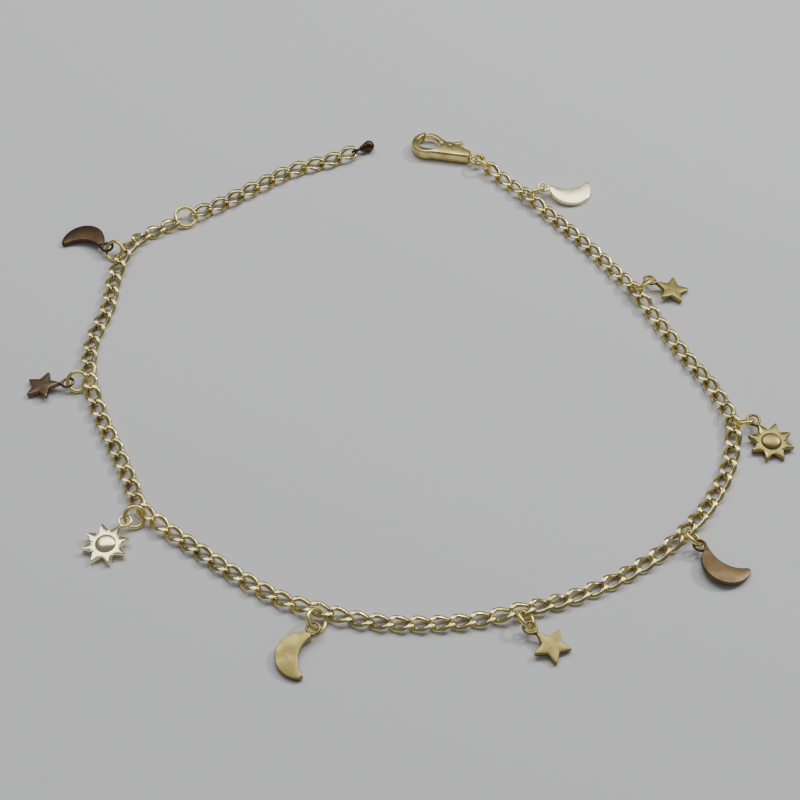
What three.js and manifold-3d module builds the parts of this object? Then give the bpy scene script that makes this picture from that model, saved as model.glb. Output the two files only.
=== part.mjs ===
// Charm anklet in gold-coloured metal, lying open on a flat surface with its clasp unfastened.
// Millimetres, +Z up. The origin is under the middle of the whole piece, on the surface it lies on.
import * as THREE from "three";
import { mergeVertices } from "three/addons/utils/BufferGeometryUtils.js";
import Module from "manifold-3d";

const wasm = await Module();
wasm.setup();

const DEG = Math.PI / 180;

// Main chain: flat twisted links
const LINK_LENGTH = 3.49;
const LINK_WIDTH = 2.4;
const LINK_WIRE = 0.5;
const MAIN_LINKS = 88;

// Extender chain: the same link, larger
const EXTENDER_LINK_LENGTH = 3.92;
const EXTENDER_LINK_WIDTH = 2.75;
const EXTENDER_WIRE = 0.56;
const EXTENDER_LINKS = 10;

// Both chains
const LINK_TWIST = -90 * DEG;
const LINK_FULLNESS = 0.75;
const LINK_SOLDER = 0.095;
const LINK_SIDES = 10;
const WIRE_SIDES = 5;
const LIFT_SPREAD = 3.4;

// Round jump rings
const CHARM_RING_WIDTH = 3.3;
const CHARM_RING_WIRE = 0.56;
const CLASP_RING_WIDTH = 3.3;
const CLASP_RING_WIRE = 0.5;
const JOINING_RING_WIDTH = 3.8;
const JOINING_RING_WIRE = 0.62;
const CLASP_RING_LEAN = -45 * DEG;
const JOINING_RING_LEAN = 26 * DEG;
const RING_SIDES = 12;
const RING_PLAY = 0.3;
const CHARM_RING_DROP = 0.22;

// Charms: stamped plates with a soldered loop
const PLATE_THICKNESS = 0.7;
const LOOP_HOLE = 1.2;
const LOOP_WIRE = 0.42;
const LOOP_SOLDER = 0.14;
const MOON_SPAN = 6.4;
const MOON_DEPTH = 4.1;
const MOON_BELLY = 3.0;
const MOON_HORN = 0.5;
const STAR_RADIUS = 2.75;
const STAR_WAIST = 1.3;
const SUN_RADIUS = 3.35;
const SUN_VALLEY = 2.0;
const SUN_RAYS = 8;
const SUN_BOSS_RADIUS = 1.4;
const SUN_BOSS_HEIGHT = 0.35;

// Lobster clasp
const CLASP_THICKNESS = 1.8;
const CLASP_EYE_HOLE = 1.5;
const CLASP_EYE_WIRE = 0.6;
const CLASP_HOOK_DISTANCE = 8.5;
const CLASP_HOOK_WIDTH = 5.2;
const CLASP_HOOK_BAND = 0.95;
const CLASP_NECK_WIDTH = 1.4;
const CLASP_SHANK_WIDTH = 3.2;
const CLASP_SHANK_FRONT = 5.7;
const CLASP_PIVOT_X = 5.0;
const CLASP_PIVOT_Y = 0.8;
const CLASP_MOUTH = 60 * DEG;
const CLASP_HEEL = 238 * DEG;
const CLASP_HEEL_STEP = 12 * DEG;
const CLASP_PIN_RADIUS = 0.3;
const CLASP_BOSS_RADIUS = 0.68;
const CLASP_CLEARANCE = 0.1;
const LEVER_THICKNESS = 0.8;
const LEVER_BAND = 0.72;
const LEVER_TAB_LENGTH = 1.5;
const LEVER_TAB_WIDTH = 0.62;
const LEVER_TAB_RISE = 35 * DEG;
const LEVER_SHOULDER = 126 * DEG;
const LEVER_SHOULDER_STEP = 14 * DEG;
const LEVER_BOSS_FROM = 160 * DEG;
const LEVER_BOSS_TO = 340 * DEG;
const CLASP_SWING = 24 * DEG;

// Small drop that ends the extender
const DROP_WIDTH = 1.8;
const DROP_LENGTH = 2.5;
const DROP_LOOP_HOLE = 0.9;
const DROP_LOOP_WIRE = 0.4;

// Clearance between pieces that hang in each other
const HANG_GAP = 0.08;

// Route of the chain on the surface, from the clasp ring round the front and back to the extender's end
const ROUTE = [
  [13.1, 49.2], [17.8, 43.9], [22.4, 38.5], [26.8, 32.9], [30.8, 27.1], [34.5, 21.0], [37.6, 14.6],
  [40.6, 8.2], [43.9, 1.9], [45.8, -4.9], [44.7, -11.9], [41.7, -18.3], [37.5, -24.0], [32.2, -28.7],
  [26.2, -32.5], [19.7, -35.3], [12.9, -37.3], [5.9, -38.4], [-1.2, -38.4], [-8.2, -37.2], [-14.9, -34.8],
  [-21.2, -30.8], [-27.0, -26.3], [-31.6, -22.7], [-34.5, -19.9], [-36.3, -15.4], [-38.9, -9.4],
  [-41.5, -3.6], [-43.9, 3.5], [-44.3, 10.5], [-42.8, 17.5], [-42.3, 24.8], [-40.0, 31.7], [-34.3, 35.8],
  [-28.3, 39.7], [-22.6, 43.9], [-16.9, 48.0], [-10.4, 50.7], [-4.2, 54.0],
];

// Charms in order from the clasp: the link that holds each one, and how it lies
const CHARMS = [
  { name: "moon_charm_1", kind: "moon", link: 4, swing: -6, heading: 13, lean: -45, roll: 8 },
  { name: "star_charm_1", kind: "star", link: 14, swing: 15, heading: -26, lean: -48, roll: -3 },
  { name: "sun_charm_1", kind: "sun", link: 25, swing: 10, heading: -62, lean: -42, roll: 3 },
  { name: "moon_charm_2", kind: "moon", link: 33, swing: -20, heading: -28, lean: -45, roll: -3 },
  { name: "star_charm_2", kind: "star", link: 43, swing: 0, heading: -43, lean: -45, roll: 2 },
  { name: "moon_charm_3", kind: "moon", link: 53, swing: 0, heading: -99, lean: -40, roll: 0 },
  { name: "sun_charm_2", kind: "sun", link: 64, swing: -17, heading: -122, lean: -44, roll: -2 },
  { name: "star_charm_3", kind: "star", link: 74, swing: -6, heading: -177, lean: -45, roll: 3 },
  { name: "moon_charm_4", kind: "moon", link: 84, swing: -20, heading: 170, lean: -45, roll: -4 },
];

// Solids from closed geometries, and back again

function solid(geometry) {
  const bare = geometry.clone();
  bare.deleteAttribute("normal");
  bare.deleteAttribute("uv");
  const merged = mergeVertices(bare, 1e-4);
  return new wasm.Manifold(
    new wasm.Mesh({
      numProp: 3,
      vertProperties: new Float32Array(merged.attributes.position.array),
      triVerts: new Uint32Array(merged.index.array),
    }),
  );
}

function geometryOf(body) {
  const mesh = body.getMesh();
  const geometry = new THREE.BufferGeometry();
  geometry.setAttribute("position", new THREE.BufferAttribute(Float32Array.from(mesh.vertProperties), 3));
  geometry.setIndex(new THREE.BufferAttribute(Uint32Array.from(mesh.triVerts), 1));
  geometry.computeVertexNormals();
  return geometry;
}

function join(geometries) {
  const [first, ...rest] = geometries.map(solid);
  return rest.reduce((sum, next) => sum.add(next), first);
}

// A closed wire loop: centre(t) gives the point, outward(t) the direction away from the loop's middle

function wireLoop(centre, outward, wire, sides, wireSides) {
  const radius = wire / 2;
  const positions = [];
  const index = [];
  for (let i = 0; i < sides; i += 1) {
    const t = ((i + 0.5) / sides) * 2 * Math.PI;
    const step = Math.PI / sides;
    const point = centre(t);
    const tangent = centre(t + step).sub(centre(t - step)).normalize();
    const out = outward(t);
    out.addScaledVector(tangent, -out.dot(tangent)).normalize();
    const side = new THREE.Vector3().crossVectors(tangent, out);
    for (let k = 0; k < wireSides; k += 1) {
      const angle = Math.PI + (k / wireSides) * 2 * Math.PI;
      const vertex = point.clone();
      vertex.addScaledVector(out, radius * Math.cos(angle));
      vertex.addScaledVector(side, radius * Math.sin(angle));
      positions.push(vertex.x, vertex.y, vertex.z);
    }
  }
  for (let i = 0; i < sides; i += 1) {
    const next = (i + 1) % sides;
    for (let k = 0; k < wireSides; k += 1) {
      const a = i * wireSides + k;
      const b = i * wireSides + ((k + 1) % wireSides);
      const c = next * wireSides + k;
      const d = next * wireSides + ((k + 1) % wireSides);
      index.push(a, b, c, b, d, c);
    }
  }
  const geometry = new THREE.BufferGeometry();
  geometry.setAttribute("position", new THREE.Float32BufferAttribute(positions, 3));
  geometry.setIndex(index);
  return geometry;
}

function ringGeometry(outerWidth, wire, sides = RING_SIDES) {
  const radius = (outerWidth - wire) / 2;
  const at = (t) => new THREE.Vector3(radius * Math.cos(t), radius * Math.sin(t), 0);
  return wireLoop(at, at, wire, sides, WIRE_SIDES);
}

// One chain link along X, twisted from one end to the other

function linkGeometry({ length, width, wire, hand }) {
  const end = (length - wire) / 2;
  const halfLength = end / Math.cos(Math.PI / LINK_SIDES);
  const halfWidth = (width - wire) / 2;
  const alongAt = (t) => halfLength * Math.cos(t);
  const acrossAt = (t) => halfWidth * Math.sign(Math.sin(t)) * Math.abs(Math.sin(t)) ** LINK_FULLNESS;
  const twistAt = (t) => ((hand * LINK_TWIST) / 2) * (alongAt(t) / end);
  const turned = (along, across, twist) =>
    new THREE.Vector3(along, across * Math.cos(twist), across * Math.sin(twist));
  const centre = (t) => turned(alongAt(t), acrossAt(t), twistAt(t));
  const outward = (t) => {
    const step = 0.02;
    const along = acrossAt(t + step) - acrossAt(t - step);
    const across = alongAt(t - step) - alongAt(t + step);
    return turned(along, across, twistAt(t));
  };
  return wireLoop(centre, outward, wire, LINK_SIDES, WIRE_SIDES);
}

const MAIN = { length: LINK_LENGTH, width: LINK_WIDTH, wire: LINK_WIRE, hand: 1 };
const EXTENDER = { length: EXTENDER_LINK_LENGTH, width: EXTENDER_LINK_WIDTH, wire: EXTENDER_WIRE, hand: -1 };

const pitchOf = (kind) => kind.length - 2 * kind.wire + LINK_SOLDER;
const endOf = (kind) => (kind.length - kind.wire) / 2;

function lyingHeight(kind) {
  const geometry = linkGeometry(kind);
  geometry.computeBoundingBox();
  return -geometry.boundingBox.min.z;
}

// Places along the route

const curve = new THREE.CatmullRomCurve3(
  ROUTE.map(([x, y]) => new THREE.Vector3(x, y, 0)),
  false,
  "centripetal",
);
curve.arcLengthDivisions = 2400;
const routeLength = curve.getLength();

function flatPlace(s) {
  const u = THREE.MathUtils.clamp(s / routeLength, 0, 1);
  const tangent = curve.getTangentAt(u);
  const point = curve.getPointAt(u).addScaledVector(tangent, s - u * routeLength);
  return { point, tangent };
}

const ringRadius = (outerWidth, wire) => (outerWidth - wire) / 2;
const leaningHeight = (outerWidth, wire, lean) =>
  ringRadius(outerWidth, wire) * Math.abs(Math.sin(lean)) + wire / 2;

const claspRingRadius = ringRadius(CLASP_RING_WIDTH, CLASP_RING_WIRE);
const joiningRingRadius = ringRadius(JOINING_RING_WIDTH, JOINING_RING_WIRE);
const charmRingRadius = ringRadius(CHARM_RING_WIDTH, CHARM_RING_WIRE);

const hold = (wireA, wireB) => (wireA + wireB) / 2 + HANG_GAP;

const mainStart = claspRingRadius - hold(CLASP_RING_WIRE, LINK_WIRE) + endOf(MAIN);
const mainEnd = mainStart + (MAIN_LINKS - 1) * pitchOf(MAIN);
const joiningAt = mainEnd + endOf(MAIN) - hold(LINK_WIRE, JOINING_RING_WIRE) + joiningRingRadius;
const extenderStart = joiningAt + joiningRingRadius - hold(JOINING_RING_WIRE, EXTENDER_WIRE) + endOf(EXTENDER);
const extenderEnd = extenderStart + (EXTENDER_LINKS - 1) * pitchOf(EXTENDER);
const dropLoopRadius = (DROP_LOOP_HOLE + DROP_LOOP_WIRE) / 2;
const dropAt = extenderEnd + endOf(EXTENDER) - hold(EXTENDER_WIRE, DROP_LOOP_WIRE) + dropLoopRadius;

const linkAt = (number) => mainStart + (number - 1) * pitchOf(MAIN);
const charmRingHeight = (lean) => leaningHeight(CHARM_RING_WIDTH, CHARM_RING_WIRE, lean * DEG);

const mainHeight = lyingHeight(MAIN);
const extenderHeight = lyingHeight(EXTENDER);
const claspRingHeight = leaningHeight(CLASP_RING_WIDTH, CLASP_RING_WIRE, CLASP_RING_LEAN);
const joiningRingHeight = leaningHeight(JOINING_RING_WIDTH, JOINING_RING_WIRE, JOINING_RING_LEAN);

// The chain rises a little where a standing ring holds it up

const RISES = [
  { at: 0, height: claspRingHeight },
  ...CHARMS.map(({ link, lean }) => ({ at: linkAt(link), height: charmRingHeight(lean) - CHARM_RING_DROP })),
  { at: joiningAt, height: joiningRingHeight },
  { at: dropAt, height: DROP_WIDTH / 2 },
];

function baseHeight(s) {
  return THREE.MathUtils.lerp(
    mainHeight,
    extenderHeight,
    THREE.MathUtils.smoothstep(s, joiningAt - joiningRingRadius, joiningAt + joiningRingRadius),
  );
}

function heightAt(s) {
  const base = baseHeight(s);
  return RISES.reduce(
    (sum, { at, height }) => sum + Math.max(0, height - baseHeight(at)) * Math.exp(-(((s - at) / LIFT_SPREAD) ** 2)),
    base,
  );
}

function place(s) {
  const { point, tangent } = flatPlace(s);
  const step = 0.05;
  const slope = (heightAt(s + step) - heightAt(s - step)) / (2 * step);
  point.z = heightAt(s);
  const along = new THREE.Vector3(tangent.x, tangent.y, slope).normalize();
  const across = new THREE.Vector3(-tangent.y, tangent.x, 0).normalize();
  const up = new THREE.Vector3().crossVectors(along, across);
  return { point, along, across, up };
}

function placeMatrix(s) {
  const { point, along, across, up } = place(s);
  return new THREE.Matrix4().makeBasis(along, across, up).setPosition(point);
}

// Named meshes with their own materials

const GOLD = 0xd9b25c;
const anklet = new THREE.Group();

function addMesh(parent, name, geometry, colour = GOLD, roughness = 0.22) {
  const material = new THREE.MeshStandardMaterial({ color: colour, metalness: 1, roughness });
  const mesh = new THREE.Mesh(geometry, material);
  mesh.name = name;
  parent.add(mesh);
  return mesh;
}

// Chains, their links fused where they touch

function chainGeometry(kind, start, first, count) {
  const links = [];
  for (let i = first; i < first + count; i += 1) {
    links.push(linkGeometry(kind).applyMatrix4(placeMatrix(start + i * pitchOf(kind))));
  }
  return geometryOf(join(links));
}

const rightLinks = Math.round(MAIN_LINKS / 2);
addMesh(anklet, "main_chain_right", chainGeometry(MAIN, mainStart, 0, rightLinks));
addMesh(anklet, "main_chain_left", chainGeometry(MAIN, mainStart, rightLinks, MAIN_LINKS - rightLinks));
addMesh(anklet, "extender_chain", chainGeometry(EXTENDER, extenderStart, 0, EXTENDER_LINKS));

// Rings that lean about the direction in which they are pulled

function addRing(name, outerWidth, wire, point, heading, lean) {
  const ring = addMesh(anklet, name, ringGeometry(outerWidth, wire));
  ring.rotation.set(lean, 0, heading, "ZYX");
  ring.position.copy(point);
  return ring;
}

const routeHeading = (s) => {
  const { tangent } = flatPlace(s);
  return Math.atan2(tangent.y, tangent.x);
};

const claspRingPoint = flatPlace(0).point.setZ(claspRingHeight);
addRing("clasp_ring", CLASP_RING_WIDTH, CLASP_RING_WIRE, claspRingPoint, routeHeading(0), CLASP_RING_LEAN);

const joiningPoint = flatPlace(joiningAt).point.setZ(joiningRingHeight);
addRing("joining_ring", JOINING_RING_WIDTH, JOINING_RING_WIRE, joiningPoint, routeHeading(joiningAt), JOINING_RING_LEAN);

// Charm shapes: the loop's middle is at the origin and the plate lies along X

const loopOuter = LOOP_HOLE / 2 + LOOP_WIRE;
const plateStart = loopOuter - LOOP_SOLDER;

function arcPoints(centreX, centreY, radius, from, to, count) {
  return Array.from({ length: count + 1 }, (_, i) => {
    const angle = from + ((to - from) * i) / count;
    return new THREE.Vector2(centreX + radius * Math.cos(angle), centreY + radius * Math.sin(angle));
  });
}

function plate(points, thickness) {
  const geometry = new THREE.ExtrudeGeometry(new THREE.Shape(points), { depth: thickness, bevelEnabled: false });
  return geometry.translate(0, 0, -thickness / 2);
}

function moonPlate() {
  const half = MOON_SPAN / 2;
  const middle = plateStart + half;
  const outer = (half ** 2 + MOON_DEPTH ** 2) / (2 * MOON_DEPTH);
  const outerY = outer - MOON_DEPTH;
  const sag = MOON_DEPTH - MOON_BELLY;
  const innerHalf = half - MOON_HORN;
  const inner = (innerHalf ** 2 + sag ** 2) / (2 * sag);
  const innerY = inner - sag;
  const outerHorn = Math.atan2(-outerY, half);
  const innerHorn = Math.atan2(-innerY, innerHalf);
  return plate(
    [
      ...arcPoints(middle, outerY, outer, Math.PI - outerHorn, 2 * Math.PI + outerHorn, 16),
      ...arcPoints(middle, innerY, inner, innerHorn, -Math.PI - innerHorn, 8),
    ],
    PLATE_THICKNESS,
  );
}

function rayedPlate(rays, tip, valley, middle) {
  const points = Array.from({ length: 2 * rays }, (_, i) => {
    const angle = Math.PI + (i * Math.PI) / rays;
    const radius = i % 2 === 0 ? tip : valley;
    return new THREE.Vector2(middle + radius * Math.cos(angle), radius * Math.sin(angle));
  });
  return plate(points, PLATE_THICKNESS);
}

function sunBoss(middle) {
  const top = PLATE_THICKNESS / 2;
  const profile = [
    new THREE.Vector2(0, 0),
    new THREE.Vector2(SUN_BOSS_RADIUS, 0),
    new THREE.Vector2(SUN_BOSS_RADIUS, top + 0.35 * SUN_BOSS_HEIGHT),
    new THREE.Vector2(0.7 * SUN_BOSS_RADIUS, top + 0.85 * SUN_BOSS_HEIGHT),
    new THREE.Vector2(0, top + SUN_BOSS_HEIGHT),
  ];
  return new THREE.LatheGeometry(profile, RING_SIDES).rotateX(Math.PI / 2).translate(middle, 0, 0);
}

function charmGeometry(kind) {
  const loop = ringGeometry(2 * loopOuter, LOOP_WIRE, LINK_SIDES);
  if (kind === "moon") {
    return geometryOf(join([moonPlate(), loop]));
  }
  if (kind === "star") {
    return geometryOf(join([rayedPlate(5, STAR_RADIUS, STAR_WAIST, plateStart + STAR_RADIUS), loop]));
  }
  const middle = plateStart + SUN_RADIUS;
  return geometryOf(join([rayedPlate(SUN_RAYS, SUN_RADIUS, SUN_VALLEY, middle), sunBoss(middle), loop]));
}

// A charm hangs in its ring at the height of the ring's middle, and its far edge rests on the surface

function lowest(geometry, rotation) {
  const matrix = new THREE.Matrix4().makeRotationFromEuler(rotation);
  const vertex = new THREE.Vector3();
  const { position } = geometry.attributes;
  let low = Infinity;
  for (let i = 0; i < position.count; i += 1) {
    low = Math.min(low, vertex.fromBufferAttribute(position, i).applyMatrix4(matrix).z);
  }
  return low;
}

function restingTilt(geometry, roll, height) {
  let shallow = 0;
  let steep = 40 * DEG;
  for (let i = 0; i < 40; i += 1) {
    const middle = (shallow + steep) / 2;
    if (height + lowest(geometry, new THREE.Euler(roll, middle, 0, "ZYX")) > 0) {
      shallow = middle;
    } else {
      steep = middle;
    }
  }
  return shallow;
}

CHARMS.forEach(({ name, kind, link, swing, heading, lean, roll }, i) => {
  const s = linkAt(link);
  const { point, tangent } = flatPlace(s);
  const facing = Math.atan2(tangent.x, -tangent.y) + swing * DEG;
  const outward = new THREE.Vector3(Math.cos(facing), Math.sin(facing), 0);
  const height = charmRingHeight(lean);
  const ringPoint = point.clone().addScaledVector(outward, charmRingRadius + RING_PLAY).setZ(height);
  addRing(`charm_ring_${i + 1}`, CHARM_RING_WIDTH, CHARM_RING_WIRE, ringPoint, facing, lean * DEG);
  const geometry = charmGeometry(kind);
  const charm = addMesh(anklet, name, geometry, 0xdcb560, 0.3);
  charm.position.copy(ringPoint).addScaledVector(outward, charmRingRadius);
  charm.rotation.set(roll * DEG, restingTilt(geometry, roll * DEG, height), heading * DEG, "ZYX");
});

// Lobster clasp: the eye's middle is at the origin and the hook points along X

const eyeOuter = CLASP_EYE_HOLE / 2 + CLASP_EYE_WIRE;
const hookOuter = CLASP_HOOK_WIDTH / 2;
const hookInner = hookOuter - CLASP_HOOK_BAND;
const pivot = new THREE.Vector2(CLASP_PIVOT_X, CLASP_PIVOT_Y);
const claspReach = hookPoint(hookOuter - CLASP_HOOK_BAND / 2, CLASP_MOUTH).distanceTo(pivot);

function angleAtReach(radius, reach) {
  const offset = new THREE.Vector2(CLASP_HOOK_DISTANCE - pivot.x, -pivot.y);
  const distance = offset.length();
  const cosine = (distance ** 2 + radius ** 2 - reach ** 2) / (2 * distance * radius);
  return Math.PI + offset.angle() - Math.acos(cosine);
}

function hookPoint(radius, angle) {
  return new THREE.Vector2(CLASP_HOOK_DISTANCE + radius * Math.cos(angle), radius * Math.sin(angle));
}

function clawGeometry() {
  const mouth = claspReach + CLASP_CLEARANCE;
  const outerTip = angleAtReach(hookOuter, mouth) % (2 * Math.PI);
  const innerTip = angleAtReach(hookInner, mouth) % (2 * Math.PI);
  const neck = eyeOuter - CLASP_EYE_WIRE / 2;
  const half = CLASP_SHANK_WIDTH / 2;
  const outline = [
    new THREE.Vector2(neck, -CLASP_NECK_WIDTH / 2),
    ...arcPoints(CLASP_HOOK_DISTANCE, 0, hookOuter, CLASP_HEEL - 2 * Math.PI, outerTip, 18),
    ...arcPoints(CLASP_HOOK_DISTANCE, 0, hookInner, innerTip, CLASP_HEEL - 2 * Math.PI - CLASP_HEEL_STEP, 14),
    new THREE.Vector2(CLASP_SHANK_FRONT, -0.5 * half),
    new THREE.Vector2(CLASP_SHANK_FRONT - 0.1 * half, 0.1 * half),
    new THREE.Vector2(CLASP_SHANK_FRONT + 0.2 * half, 0.75 * half),
    new THREE.Vector2(CLASP_PIVOT_X + 0.1 * half, half),
    new THREE.Vector2(CLASP_PIVOT_X - 0.6 * half, 0.9 * half),
    new THREE.Vector2(neck, CLASP_NECK_WIDTH / 2),
  ];
  const bossClear = CLASP_BOSS_RADIUS + CLASP_CLEARANCE;
  const slotThickness = LEVER_THICKNESS + 2 * CLASP_CLEARANCE;
  const slotLength = CLASP_SHANK_FRONT + half - pivot.x + bossClear;
  const slot = new THREE.BoxGeometry(slotLength, CLASP_SHANK_WIDTH, slotThickness);
  slot.translate(pivot.x - bossClear + slotLength / 2, pivot.y - bossClear + CLASP_SHANK_WIDTH / 2, 0);
  const pin = new THREE.CylinderGeometry(CLASP_PIN_RADIUS, CLASP_PIN_RADIUS, CLASP_THICKNESS, RING_SIDES);
  pin.rotateX(Math.PI / 2).translate(pivot.x, pivot.y, 0);
  const eye = ringGeometry(2 * eyeOuter, CLASP_EYE_WIRE);
  return geometryOf(solid(plate(outline, CLASP_THICKNESS)).subtract(solid(slot)).add(solid(pin)).add(solid(eye)));
}

function leverGeometry() {
  const outer = hookOuter;
  const inner = hookOuter - LEVER_BAND;
  const outerTip = angleAtReach(outer, claspReach) % (2 * Math.PI);
  const innerTip = angleAtReach(inner, claspReach) % (2 * Math.PI);
  const boss = CLASP_BOSS_RADIUS;
  const tabBase = new THREE.Vector2(pivot.x - 0.2 * boss, hookPoint(outer, LEVER_SHOULDER).y);
  const tabAlong = new THREE.Vector2(-Math.cos(LEVER_TAB_RISE), Math.sin(LEVER_TAB_RISE));
  const tabAcross = new THREE.Vector2(-tabAlong.y, tabAlong.x);
  const tabEnd = tabBase.clone().addScaledVector(tabAlong, LEVER_TAB_LENGTH);
  const outline = [
    ...arcPoints(CLASP_HOOK_DISTANCE, 0, outer, outerTip, LEVER_SHOULDER, 8),
    tabBase,
    tabEnd,
    tabEnd.clone().addScaledVector(tabAcross, LEVER_TAB_WIDTH),
    tabBase.clone().addScaledVector(tabAcross, LEVER_TAB_WIDTH + 0.1).addScaledVector(tabAlong, 0.5),
    ...arcPoints(pivot.x, pivot.y, boss, LEVER_BOSS_FROM, LEVER_BOSS_TO, 8),
    ...arcPoints(CLASP_HOOK_DISTANCE, 0, inner, LEVER_SHOULDER + LEVER_SHOULDER_STEP, innerTip, 8),
  ];
  const bore = new THREE.CylinderGeometry(
    CLASP_PIN_RADIUS + CLASP_CLEARANCE,
    CLASP_PIN_RADIUS + CLASP_CLEARANCE,
    CLASP_THICKNESS,
    RING_SIDES,
  );
  bore.rotateX(Math.PI / 2).translate(pivot.x, pivot.y, 0);
  return geometryOf(solid(plate(outline, LEVER_THICKNESS)).subtract(solid(bore)));
}

const clasp = new THREE.Group();
const claspHeading = routeHeading(0) + Math.PI;
clasp.position.set(
  claspRingPoint.x + claspRingRadius * Math.cos(claspHeading),
  claspRingPoint.y + claspRingRadius * Math.sin(claspHeading),
  CLASP_THICKNESS / 2,
);
clasp.rotation.set(Math.PI, 0, claspHeading + CLASP_SWING, "ZYX");
anklet.add(clasp);
addMesh(clasp, "clasp_body", clawGeometry());
addMesh(clasp, "clasp_lever", leverGeometry());

// End drop, turned so that its loop crosses the last link

function dropGeometry() {
  const radius = DROP_WIDTH / 2;
  const loopOuterRadius = dropLoopRadius + DROP_LOOP_WIRE / 2;
  const start = dropLoopRadius;
  const belly = DROP_LENGTH - radius;
  const profile = [new THREE.Vector2(0, 0), new THREE.Vector2(0.22 * DROP_WIDTH, 0.04 * DROP_LENGTH)];
  for (let i = 0; i <= 6; i += 1) {
    const angle = (-35 + (125 * i) / 6) * DEG;
    profile.push(new THREE.Vector2(i === 6 ? 0 : radius * Math.cos(angle), belly + radius * Math.sin(angle)));
  }
  const body = new THREE.LatheGeometry(profile, LINK_SIDES).rotateZ(-Math.PI / 2).translate(start, 0, 0);
  const loop = ringGeometry(2 * loopOuterRadius, DROP_LOOP_WIRE, LINK_SIDES).rotateX(LINK_TWIST / 2);
  return geometryOf(join([body, loop]));
}

const drop = addMesh(anklet, "end_drop", dropGeometry());
drop.position.copy(flatPlace(dropAt).point).setZ(DROP_WIDTH / 2);
drop.rotation.z = routeHeading(dropAt);

// The origin goes under the middle of the whole anklet

const bounds = new THREE.Box3().setFromObject(anklet, true);
const centre = bounds.getCenter(new THREE.Vector3());
anklet.position.set(-centre.x, -centre.y, -bounds.min.z);

export default anklet;
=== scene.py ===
"""Looks of a gold-coloured charm anklet that lies open on a pale floor, its clasp unfastened.

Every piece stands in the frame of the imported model, in metres, and replaces one of its nodes. Sizes are
written in millimetres, as in the part's source, and turned into metres when a mesh is made.
"""

import logging
import math
from dataclasses import dataclass, field
from enum import Enum

import bpy
import numpy as np
from mathutils import Matrix, Vector

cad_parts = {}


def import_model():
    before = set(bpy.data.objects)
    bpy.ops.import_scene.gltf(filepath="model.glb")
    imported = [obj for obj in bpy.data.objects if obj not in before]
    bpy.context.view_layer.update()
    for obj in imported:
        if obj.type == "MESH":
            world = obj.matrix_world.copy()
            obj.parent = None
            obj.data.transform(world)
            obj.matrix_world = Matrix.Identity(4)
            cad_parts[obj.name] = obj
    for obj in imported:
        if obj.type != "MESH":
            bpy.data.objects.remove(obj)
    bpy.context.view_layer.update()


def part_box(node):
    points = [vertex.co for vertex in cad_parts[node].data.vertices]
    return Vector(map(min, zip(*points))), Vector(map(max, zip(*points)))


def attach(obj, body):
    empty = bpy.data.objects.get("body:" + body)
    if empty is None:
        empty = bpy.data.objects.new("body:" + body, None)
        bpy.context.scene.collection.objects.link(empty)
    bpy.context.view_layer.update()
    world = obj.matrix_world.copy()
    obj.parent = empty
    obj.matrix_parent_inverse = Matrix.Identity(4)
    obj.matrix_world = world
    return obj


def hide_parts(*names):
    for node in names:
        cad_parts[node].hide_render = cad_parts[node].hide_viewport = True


LOG = logging.getLogger("anklet")

MM = 0.001
TURN = 2 * math.pi

# The route of the chain on the surface, in millimetres, from the clasp ring to the extender's end
ROUTE = (
    (13.1, 49.2), (17.8, 43.9), (22.4, 38.5), (26.8, 32.9), (30.8, 27.1), (34.5, 21.0), (37.6, 14.6),
    (40.6, 8.2), (43.9, 1.9), (45.8, -4.9), (44.7, -11.9), (41.7, -18.3), (37.5, -24.0), (32.2, -28.7),
    (26.2, -32.5), (19.7, -35.3), (12.9, -37.3), (5.9, -38.4), (-1.2, -38.4), (-8.2, -37.2), (-14.9, -34.8),
    (-21.2, -30.8), (-27.0, -26.3), (-31.6, -22.7), (-34.5, -19.9), (-36.3, -15.4), (-38.9, -9.4),
    (-41.5, -3.6), (-43.9, 3.5), (-44.3, 10.5), (-42.8, 17.5), (-42.3, 24.8), (-40.0, 31.7), (-34.3, 35.8),
    (-28.3, 39.7), (-22.6, 43.9), (-16.9, 48.0), (-10.4, 50.7), (-4.2, 54.0),
)

# Clearance between pieces that hang in each other, and how deep the links of the solid chain are soldered
HANG_GAP = 0.08
LINK_SOLDER = 0.095

# Points round the wire of a ring
RING_SIDES = 12

# How worn a rounded edge of a bar is at each of the points across it
EDGE_WEAR = (0.0, 0.7, 1.0, 0.7, 0.0)
EDGE_POINTS = len(EDGE_WEAR)

# The angle in degrees past which an edge is shaded as sharp
SHARP_ANGLE = 40.0


# Surfaces


@dataclass
class Surface:
    """A closed surface: its points, four-sided and three-sided faces, and how near a rim each point is."""

    points: np.ndarray
    quads: np.ndarray
    triangles: np.ndarray
    rim: np.ndarray

    def placed(self, matrix: np.ndarray, offset: np.ndarray) -> "Surface":
        """The surface with its points turned by a 3x3 matrix and then moved."""
        return Surface(self.points @ matrix.T + offset, self.quads, self.triangles, self.rim)

    def outward(self) -> "Surface":
        """Turns the faces round where they point inwards, which a negative enclosed volume shows.

        Returns:
            This surface, or one with its faces turned round.
        """
        corners = np.concatenate([self.triangles, self.quads[:, [0, 1, 2]], self.quads[:, [0, 2, 3]]])
        a, b, c = (self.points[corners[:, i]] for i in range(3))
        if np.einsum("ij,ij->i", a, np.cross(b, c)).sum() >= 0:
            return self
        return Surface(self.points, self.quads[:, ::-1], self.triangles[:, ::-1], self.rim)


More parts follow.
